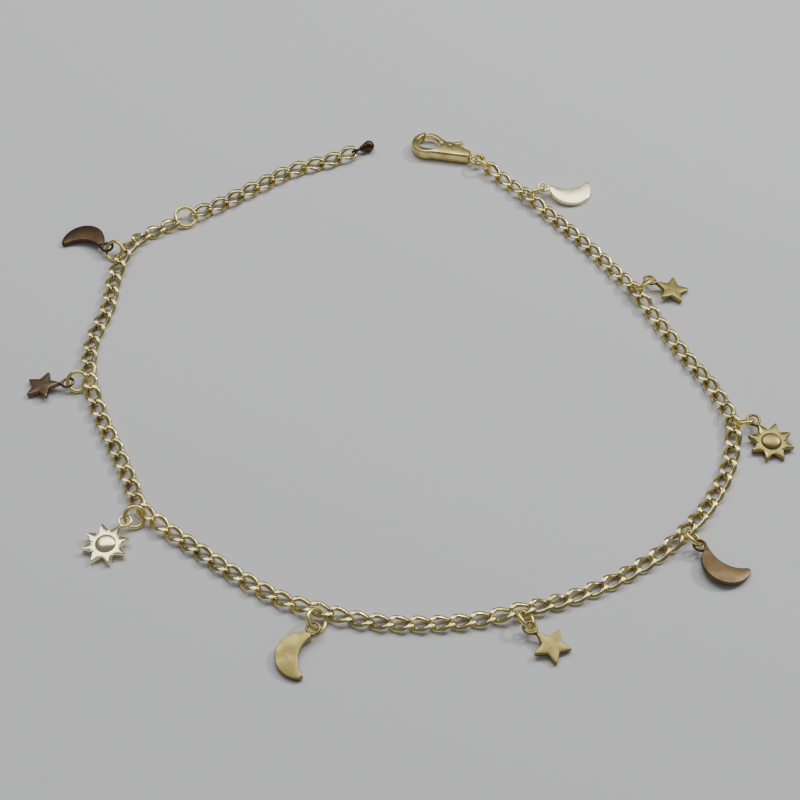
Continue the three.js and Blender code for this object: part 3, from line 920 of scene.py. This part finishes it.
@dataclass
class EndRings:
    """The clasp's ring, the joining ring and the bead that ends the extender.

    Lengths are in millimetres and angles in degrees. The neck's sizes are shares of the drop's.
    """

    course: Course
    shift: np.ndarray
    saw_cut: float = 0.05
    clasp_seam: float = 118.0
    joining_seam: float = 262.0
    ball_from: float = -35.0
    ball_to: float = 88.0
    ball_sections: int = 18
    neck_length: float = 0.04
    neck_radii: tuple[float, float] = (0.12, 0.22)
    sides: int = 28
    loop_steps: int = 32

    def bead(self) -> Surface:
        """The drop: a cone that turns into a ball, carried round X, with a soldered loop.

        At an angle a on the ball, the profile is radius sin a along and radius cos a out from its belly.

        Returns:
            The drop's surface, its loop's middle at the origin.
        """
        radius = DROP_WIDTH / 2
        belly = DROP_LENGTH - radius
        ball = np.radians(np.linspace(self.ball_from, self.ball_to, self.ball_sections))
        neck = [share * DROP_WIDTH for share in self.neck_radii]
        along = np.concatenate([[0.0, self.neck_length * DROP_LENGTH], belly + radius * np.sin(ball)])
        out = np.concatenate([neck, radius * np.cos(ball)])
        turn = (TURN * np.arange(self.sides) / self.sides)[None, :]
        rows = np.stack([
            (along + DROP_LOOP.radius)[:, None] * np.ones_like(turn),
            out[:, None] * np.cos(turn),
            out[:, None] * np.sin(turn),
        ], -1)
        loop = jump_ring(DROP_LOOP.radius, DROP_LOOP.thickness, steps=self.loop_steps)
        loop = loop.placed(rotation(x=DROP_LOOP.lean), np.zeros(3))
        return together([skin(rows, False), loop])

    def build(self) -> None:
        """Makes the rings and the bead."""
        finish = RING_GOLD.material()
        for name, node, ring, at, seam in (
            ("clasp_jump_ring", "clasp_ring", CLASP_RING, 0.0, self.clasp_seam),
            ("joining_jump_ring", "joining_ring", JOINING_RING, self.course.joint, self.joining_seam),
        ):
            point, heading = self.course.spot(at)
            surface = jump_ring(ring.radius, ring.thickness, self.saw_cut, seam)
            place = np.append(point, ring.height) + self.shift
            surface = surface.placed(rotation(x=ring.lean, z=heading), place)
            make_piece(name, surface, finish, node)
        point, heading = self.course.spot(self.course.drop)
        surface = self.bead().placed(rotation(z=heading), np.append(point, DROP_WIDTH / 2) + self.shift)
        # The end bead gets the near-black copy of the gold: painted deep shade.
        make_piece("end_bead", surface, PAINTED_DEEP_SHADE_UMBER_GOLD.material(), "end_drop")


# Charms


@dataclass
class Charms:
    """The nine stamped charms and their jump rings, sizes in millimetres."""

    course: Course
    shift: np.ndarray
    thickness: float = 0.7
    loop: Ring = Ring(2.04, 0.42, 0.0)
    solder: float = 0.14
    edge: float = 0.12
    crown: float = 0.04
    play: float = 0.3
    moon_span: float = 6.4
    moon_depth: float = 4.1
    moon_belly: float = 3.0
    moon_horn: float = 0.5
    star_tip: float = 2.75
    star_waist: float = 1.3
    sun_tip: float = 3.35
    sun_valley: float = 2.0
    sun_rays: int = 8
    boss_radius: float = 1.4
    boss_height: float = 0.42
    ridge: float = 0.34
    groove: float = 0.16
    star_points: int = 5
    horn_round: float = 0.3
    outline_points: int = 64
    loop_steps: int = 36
    solder_reach: float = 0.12
    solder_bead: tuple[float, float, float] = (0.32, 0.42, 0.27)
    saw_cut: float = 0.05
    seam: float = 90.0

    @property
    def plate_start(self) -> float:
        """Where the plate starts, seen from the loop's middle."""
        return self.loop.width / 2 - self.solder

    def moon(self) -> Surface:
        """The crescent: a bar between its outer and inner arcs, with blunt horns.

        An arc's radius is (half its width squared + its height squared) over twice its height.

        Returns:
            The plate's surface.
        """
        half = self.moon_span / 2
        middle = self.plate_start + half
        outer = (half**2 + self.moon_depth**2) / (2 * self.moon_depth)
        sag = self.moon_depth - self.moon_belly
        inner_half = half - self.moon_horn
        inner = (inner_half**2 + sag**2) / (2 * sag)
        outer_y, inner_y = outer - self.moon_depth, inner - sag
        horn = math.degrees(math.atan2(-outer_y, half))
        inner_horn = math.degrees(math.atan2(-inner_y, inner_half))
        fine, count = 200, self.outline_points
        outside = even(arc((middle, outer_y), outer, 180 - horn, 360 + horn, fine), count)
        inside = even(arc((middle, inner_y), inner, -180 - inner_horn, inner_horn, fine), count)
        return strip(outside, inside, np.full(count, self.thickness), self.edge, self.horn_round)

    def rayed(self, rays: int, tip: float, valley: float, boss: float) -> Surface:
        """A rayed plate: its outline shrinks evenly towards the middle, and so do its bevelled edges.

        At an angle a from a tip, and with w from tip to valley, the outline's straight edge has the radius
        tip valley sin w / (valley sin (w - a) + tip sin a), averaged over neighbours to round the corners.
        A boss is half an ellipsoid whose rows are circles, and the rays round it are embossed. Each ray is
        crowned like half an ellipse across, less a groove that deepens with the sixth power towards the
        next. Both fade to nothing near the boss and at the edge, as half a sine wave.

        Args:
            rays: how many.
            tip: radius at the tips.
            valley: radius between them.
            boss: height of the raised middle, or 0.

        Returns:
            The plate's surface.
        """
        per_edge, boss_rows = 14, 12
        ray_start, boss_start, groove_power = 0.42, 0.05, 6
        flat_scale = np.array([0.02, 0.35, 0.62, 0.82])
        flat_rows = len(flat_scale)
        count = 2 * rays * per_edge
        turn = math.pi + TURN * np.arange(count) / count
        wedge = math.pi / rays
        inside = np.abs((turn - math.pi + wedge) % (2 * wedge) - wedge)
        outline = tip * valley * math.sin(wedge) / (
            valley * np.sin(wedge - inside) + tip * np.sin(inside)
        )
        kernel = np.array([1, 2, 3, 2, 1]) / 9
        back = len(kernel) // 2
        outline = sum(k * np.roll(outline, i - back) for i, k in enumerate(kernel))
        inset = self.edge / (valley * math.cos(wedge / 2))
        top = self.thickness / 2
        quarter = np.linspace(0, math.pi / 2, EDGE_POINTS)
        edge_scale = 1 - inset + inset * np.sin(quarter)
        edge_z = top - self.edge * (1 - np.cos(quarter))
        scale = np.concatenate([flat_scale, edge_scale, edge_scale[::-1], flat_scale[::-1]])
        crown = self.crown * (1 - flat_scale**2)
        z = np.concatenate([top + crown, edge_z, -edge_z[::-1], np.full(flat_rows, -top)])
        worn = np.sin(2 * quarter)
        rim = np.concatenate([np.zeros(flat_rows), worn, worn, np.zeros(flat_rows)])
        radius = scale[:, None] * outline
        height = z[:, None] * np.ones(count)
        if boss:
            along = np.clip((scale - ray_start) / (1 - ray_start), 0, 1)
            on_ray = np.sin(np.pi * along) * (z > 0)
            crowned = np.sqrt(np.clip(1 - (inside / wedge) ** 2, 0, 1))
            emboss = self.ridge * crowned - self.groove * (inside / wedge) ** groove_power
            height = height + on_ray[:, None] * emboss
            swell = np.linspace(boss_start, 1.0, boss_rows)
            round_radius = self.boss_radius * swell
            round_z = top + boss * np.sqrt(np.clip(1 - swell**2, 0, 1))
            covered = flat_rows - 1
            first = scale[covered:, None] * outline
            radius = np.concatenate([round_radius[:, None] * np.ones(count), first])
            height = np.concatenate([round_z[:, None] * np.ones(count), height[covered:]])
            height[boss_rows] = top
            rim = np.concatenate([np.zeros(boss_rows), rim[covered:]])
        rows = np.stack([
            self.plate_start + tip + radius * np.cos(turn),
            radius * np.sin(turn),
            height,
        ], -1)
        return skin(rows, False, rim[:, None] * np.ones(count))

    def charm(self, kind: Kind) -> Surface:
        """One charm, its loop's middle at the origin and its plate along X.

        Args:
            kind: which kind of charm.

        Returns:
            The plate, the loop and the solder between them.
        """
        plate = {
            Kind.MOON: self.moon,
            Kind.STAR: lambda: self.rayed(self.star_points, self.star_tip, self.star_waist, 0.0),
            Kind.SUN: lambda: self.rayed(self.sun_rays, self.sun_tip, self.sun_valley, self.boss_height),
        }[kind]()
        loop = jump_ring(self.loop.radius, self.loop.thickness, steps=self.loop_steps)
        joint = blob((self.loop.radius + self.solder_reach, 0.0, 0.0), self.solder_bead)
        return together([plate, loop, joint])

    def tilt(self, surface: Surface, roll: float, height: float) -> float:
        """The steepest tilt at which no point of a charm goes under the surface.

        Args:
            surface: the charm.
            roll: its roll in degrees.
            height: how high its loop's middle is.

        Returns:
            The tilt in degrees.
        """
        shallow, steep, halvings = 0.0, 40.0, 40
        for _ in range(halvings):
            middle = (shallow + steep) / 2
            low = (surface.points @ rotation(roll, middle).T)[:, 2].min()
            if height + low > 0:
                shallow = middle
            else:
                steep = middle
        return shallow

    def build(self) -> None:
        """Makes each charm and its jump ring."""
        ring_finish = RING_GOLD.material()
        for number, lying in enumerate(CHARMS, 1):
            ring = lying.ring
            point, heading = self.course.spot(self.course.link_at(lying.link))
            facing = heading + 90 + lying.swing
            out = np.array([math.cos(math.radians(facing)), math.sin(math.radians(facing)), 0.0])
            middle = np.append(point, ring.height) + self.shift + out * (ring.radius + self.play)
            surface = jump_ring(ring.radius, ring.thickness, self.saw_cut, self.seam)
            surface = surface.placed(rotation(x=lying.lean, z=facing), middle)
            name, node = f"charm_jump_ring_{number}", f"charm_ring_{number}"
            make_piece(name, surface, ring_finish, node)
            charm = self.charm(lying.kind)
            tilt = self.tilt(charm, lying.roll, ring.height)
            charm = charm.placed(rotation(lying.roll, tilt, lying.heading), middle + out * ring.radius)
            kind = lying.kind.value
            name, node = f"{kind}_pendant_{lying.number}", f"{kind}_charm_{lying.number}"
            make_piece(name, charm, lying.finish.material(), node)


# Clasp


@dataclass
class LobsterClasp:
    """The lobster clasp, its eye's middle at the origin and its hook along X.

    Lengths are in millimetres and angles in degrees, those of the hook's arcs about the hook's middle.
    """

    course: Course
    shift: np.ndarray
    thickness: float = 1.8
    eye: Ring = Ring(2.7, 0.6, 0.0)
    hook_distance: float = 8.5
    hook_width: float = 5.2
    hook_band: float = 0.95
    taper: float = 0.4
    neck: float = 1.4
    shank: float = 3.2
    front: float = 5.7
    pivot: tuple[float, float] = (5.0, 0.8)
    mouth: float = 60.0
    pin: float = 0.3
    boss: float = 0.68
    clearance: float = 0.1
    lever: float = 0.8
    lever_band: float = 0.72
    tab_length: float = 1.5
    tab_width: float = 0.62
    tab_flare: float = 0.1
    tab_root: float = 0.7
    tab_angle: float = 35.0
    swing: float = 24.0
    back_start: float = -122.0
    throat_start: float = -134.0
    shoulder: float = 126.0
    shoulder_step: float = 14.0
    taper_from: float = 0.42
    taper_over: float = 0.4
    casting_edge: float = 0.42
    casting_end: float = 0.35
    lever_edge: float = 0.16
    arm_end: float = 0.2
    tab_end: float = 0.25
    boss_edge: float = 0.12
    pin_edge: float = 0.08
    pin_proud: float = 0.02
    sides: int = 32

    @property
    def reach(self) -> float:
        """From the pin to the middle of the hook's band at its mouth.

        Returns:
            The distance.
        """
        radius = (self.hook_width - self.hook_band) / 2
        turn = math.radians(self.mouth)
        x, y = self.hook_distance + radius * math.cos(turn), radius * math.sin(turn)
        return math.hypot(x - self.pivot[0], y - self.pivot[1])

    def tip(self, radius: float, reach: float) -> float:
        """The place on a circle about the hook's middle that lies a given reach from the pin.

        It comes from the triangle of the pin, the hook's middle and that place, by the cosine rule.

        Args:
            radius: of the circle.
            reach: the distance from the pin.

        Returns:
            The angle in degrees.
        """
        along, across = self.hook_distance - self.pivot[0], -self.pivot[1]
        distance = math.hypot(along, across)
        cosine = (distance**2 + radius**2 - reach**2) / (2 * distance * radius)
        return (180 + math.degrees(math.atan2(across, along) - math.acos(cosine))) % 360

    def lathe(self, radius: float, height: float, round_edge: float, bore: float = 0.0) -> Surface:
        """A disc or collar about the pin: a profile with rounded edges carried round Z.

        Args:
            radius: outer radius.
            height: full height.
            round_edge: radius of its edges.
            bore: radius of its bore, or 0 for a solid disc.

        Returns:
            The surface about the pin.
        """
        least = 0.02
        quarter = np.linspace(0, math.pi / 2, EDGE_POINTS)
        out = radius - round_edge + round_edge * np.cos(quarter)
        up = np.stack([out, height / 2 - round_edge + round_edge * np.sin(quarter)], -1)
        down = up[::-1] * np.array([1, -1])
        inner = max(bore, least)
        profile = np.concatenate([[[inner, -height / 2]], down, up, [[inner, height / 2]]])
        turn = TURN * np.arange(self.sides) / self.sides
        rows = np.stack([
            self.pivot[0] + profile[:, 0, None] * np.cos(turn),
            self.pivot[1] + profile[:, 0, None] * np.sin(turn),
            profile[:, 1, None] * np.ones(self.sides),
        ], -1)
        if bore:
            return skin(rows.transpose(1, 0, 2), True)
        return skin(rows, False)

    def claw(self) -> Surface:
        """The neck, shank and hook: a bar between the two outlines of the casting.

        From the shank to the hook it thins by 3 d ** 2 - 2 d ** 3 of its taper, where d is the share passed.

        Returns:
            The casting without its slot.
        """
        outer, inner = self.hook_width / 2, self.hook_width / 2 - self.hook_band
        centre = (self.hook_distance, 0.0)
        mouth = self.reach + self.clearance
        neck = self.eye.width / 2 - self.eye.thickness / 2
        half = self.shank / 2
        drawn, count = 60, 90

        # The back follows the hook's circle, and the throat's corners are shares of half the shank's width
        outside = np.concatenate([
            [[neck, -self.neck / 2]],
            arc(centre, outer, self.back_start, self.tip(outer, mouth), drawn),
        ])
        inside = np.concatenate([
            [
                [neck, self.neck / 2],
                [self.pivot[0] - 0.6 * half, 0.9 * half],
                [self.pivot[0] + 0.1 * half, half],
                [self.front + 0.2 * half, 0.75 * half],
                [self.front - 0.1 * half, 0.1 * half],
                [self.front, -0.5 * half],
            ],
            arc(centre, inner, self.throat_start, self.tip(inner, mouth), drawn),
        ])
        beyond = np.clip((np.linspace(0, 1, count) - self.taper_from) / self.taper_over, 0, 1)
        height = self.thickness - self.taper * beyond * beyond * (3 - 2 * beyond)
        return strip(even(outside, count), even(inside, count), height, self.casting_edge, self.casting_end)

    def arm(self) -> Surface:
        """The lever's arm: a bar on the hook's circle, which ends beside the boss.

        Returns:
            The arm's surface.
        """
        outer, inner = self.hook_width / 2, self.hook_width / 2 - self.lever_band
        centre = (self.hook_distance, 0.0)
        step, count = self.shoulder_step, 40
        outside = np.concatenate([
            arc(centre, outer, self.tip(outer, self.reach), self.shoulder, count),
            [[self.pivot[0] - 0.1, self.pivot[1] + self.boss]],
        ])
        inside = np.concatenate([
            arc(centre, inner, self.tip(inner, self.reach), self.shoulder + step, count),
            [[self.pivot[0] + self.boss * 0.9, self.pivot[1] - self.boss * 0.3]],
        ])
        height = np.full(count, self.lever)
        return strip(even(outside, count), even(inside, count), height, self.lever_edge, self.arm_end)

    def tab(self) -> Surface:
        """The thumb tab: a straight bar that stands off the lever at its shoulder and narrows outwards.

        Returns:
            The tab's surface.
        """
        outer = self.hook_width / 2
        rise, count = math.radians(self.tab_angle), 14
        base = np.array([self.pivot[0] - 0.2 * self.boss, outer * math.sin(math.radians(self.shoulder))])
        along = np.array([-math.cos(rise), math.sin(rise)])
        across = np.array([-along[1], along[0]])
        far = base + along * self.tab_length
        near = base - along * self.tab_root
        wide = self.tab_width + self.tab_flare
        front = even(np.stack([near, far]), count)
        back = even(np.stack([near + across * wide, far + across * self.tab_width]), count)
        return strip(front, back, np.full(count, self.lever), self.lever_edge, self.tab_end)

    def slotted(self, casting: Surface) -> Surface:
        """Cuts the lever's slot out of the casting with a box.

        Args:
            casting: the closed casting.

        Returns:
            The casting with its slot.
        """
        clear = self.boss + self.clearance
        low = np.array([self.pivot[0] - clear, self.pivot[1] - clear, -self.lever / 2 - self.clearance])
        high = np.array([self.front + self.shank / 2, self.shank, self.lever / 2 + self.clearance])
        square = low + np.array([[0, 0, 0], [1, 0, 0], [1, 1, 0], [0, 1, 0]]) * (high - low)
        lift = np.array([0, 0, high[2] - low[2]])
        cutter = plain_object("slot cutter", skin(np.stack([square, square + lift]), False))
        claw = plain_object("uncut claw", casting)
        cut = claw.modifiers.new("lever slot", "BOOLEAN")
        cut.operation = "DIFFERENCE"
        cut.object = cutter
        cut.solver = "EXACT"
        graph = bpy.context.evaluated_depsgraph_get()
        mesh = bpy.data.meshes.new_from_object(claw.evaluated_get(graph))
        mesh.calc_loop_triangles()
        points = np.empty(3 * len(mesh.vertices), np.float32)
        corners = np.empty(3 * len(mesh.loop_triangles), np.int32)
        mesh.vertices.foreach_get("co", points)
        mesh.loop_triangles.foreach_get("vertices", corners)
        for helper in (claw, cutter):
            bpy.data.objects.remove(helper)
        points = points.reshape(-1, 3).astype(float)
        return Surface(points, np.zeros((0, 4), int), corners.reshape(-1, 3), np.zeros(len(points)))

    def place(self) -> tuple[np.ndarray, np.ndarray]:
        """How the clasp lies: turned over, and swung a little from the chain's line.

        Returns:
            The turn, 3x3, and the eye's place.
        """
        point, heading = self.course.spot(0.0)
        back = math.radians(heading + 180)
        eye = point + CLASP_RING.radius * np.array([math.cos(back), math.sin(back)])
        turn = rotation(x=180, z=heading + 180 + self.swing)
        return turn, np.append(eye, self.thickness / 2) + self.shift

    def build(self) -> None:
        """Makes the casting with its pin, and the lever."""
        finish = CAST.material()
        matrix, offset = self.place()
        eye = jump_ring(self.eye.radius, self.eye.thickness)
        pin = self.lathe(self.pin, self.thickness + self.pin_proud, self.pin_edge)
        body = together([self.slotted(self.claw()), eye, pin]).placed(matrix, offset)
        make_piece("lobster_claw", body, finish, "clasp_body")
        boss = self.lathe(self.boss, self.lever, self.boss_edge, self.pin + self.clearance)
        lever = together([self.arm(), self.tab(), boss]).placed(matrix, offset)
        make_piece("lobster_lever", lever, finish, "clasp_lever", Body.LEVER)


# Studio


@dataclass(frozen=True)
class SoftLight:
    """A rectangular soft light that looks at the anklet, in metres and watts.

    Args:
        name: its name.
        place: where it stands, seen from the anklet.
        size: its width and height.
        watts: its power.
    """

    name: str
    place: tuple[float, float, float]
    size: tuple[float, float]
    watts: float


OVERHEAD = SoftLight("overhead", (0.0, 0.272, 0.535), (0.72, 0.345), 2.4)
KEY = SoftLight("key", (0.398, 0.23, 0.386), (0.07, 0.07), 1.1)


@dataclass
class Studio:
    """The pale floor, the soft lights and the camera. Lengths in metres, angles in degrees."""

    aim: tuple[float, float, float]
    image_width: int = 800
    focal_pixels: float = 1854.0
    distance: float = 0.26
    elevation: float = 48.0
    sensor: float = 36.0
    clip: float = 0.01
    floor_half: float = 1.5
    floor_colour: tuple[float, float, float] = (0.76, 0.76, 0.77)
    floor_roughness: float = 0.8
    sky_colour: tuple[float, float, float] = (0.5, 0.51, 0.53)
    sky_strength: float = 0.36

    def floor(self) -> None:
        """A wide pale floor at the height of the surface that the anklet lies on."""
        half = self.floor_half
        corners = [(-half, -half, 0), (half, -half, 0), (half, half, 0), (-half, half, 0)]
        mesh = bpy.data.meshes.new("floor")
        mesh.from_pydata(corners, [], [(0, 1, 2, 3)])
        material = bpy.data.materials.new("pale floor")
        material.use_nodes = True
        shader = material.node_tree.nodes["Principled BSDF"]
        shader.inputs["Base Color"].default_value = (*self.floor_colour, 1)
        shader.inputs["Roughness"].default_value = self.floor_roughness
        mesh.materials.append(material)
        floor = bpy.data.objects.new("floor", mesh)
        bpy.context.scene.collection.objects.link(floor)

    def light(self, lamp: SoftLight) -> None:
        """Stands a light in its place and turns it to the anklet.

        Args:
            lamp: the light.
        """
        data = bpy.data.lights.new(lamp.name, "AREA")
        data.shape = "RECTANGLE"
        data.size, data.size_y = lamp.size
        data.energy = lamp.watts
        light = bpy.data.objects.new(lamp.name, data)
        light.location = Vector(self.aim) + Vector(lamp.place)
        light.rotation_euler = (-Vector(lamp.place)).to_track_quat("-Z", "Y").to_euler()
        bpy.context.scene.collection.objects.link(light)

    def camera(self) -> None:
        """The camera at the photograph's angle, looking along +Y and down."""
        data = bpy.data.cameras.new("camera")
        data.sensor_width = self.sensor
        data.lens = self.focal_pixels / self.image_width * data.sensor_width
        data.clip_start = self.clip
        camera = bpy.data.objects.new("camera", data)
        rise = math.radians(self.elevation)
        camera.location = Vector(self.aim) + self.distance * Vector((0, -math.cos(rise), math.sin(rise)))
        camera.rotation_euler = (math.radians(90 - self.elevation), 0, 0)
        bpy.context.scene.collection.objects.link(camera)
        bpy.context.scene.camera = camera

    def build(self) -> None:
        """Sets the whole stage."""
        self.camera()
        self.floor()
        self.light(OVERHEAD)
        self.light(KEY)
        world = bpy.data.worlds.new("studio")
        world.use_nodes = True
        background = world.node_tree.nodes["Background"]
        background.inputs["Color"].default_value = (*self.sky_colour, 1)
        background.inputs["Strength"].default_value = self.sky_strength
        bpy.context.scene.world = world


def main() -> None:
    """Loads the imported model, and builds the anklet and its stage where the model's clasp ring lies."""
    logging.basicConfig(level=logging.INFO, format="%(message)s")
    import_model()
    course = Course()
    ring_low, ring_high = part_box("clasp_ring")
    ring_middle = np.array((ring_low + ring_high) / 2) / MM
    point, _ = course.spot(0.0)
    shift = np.append(ring_middle[:2] - point, 0.0)
    Studio(tuple(shift * MM)).build()
    Chains(course, shift).build()
    EndRings(course, shift).build()
    Charms(course, shift).build()
    LobsterClasp(course, shift).build()
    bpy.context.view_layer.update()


if __name__ == "__main__":
    main()
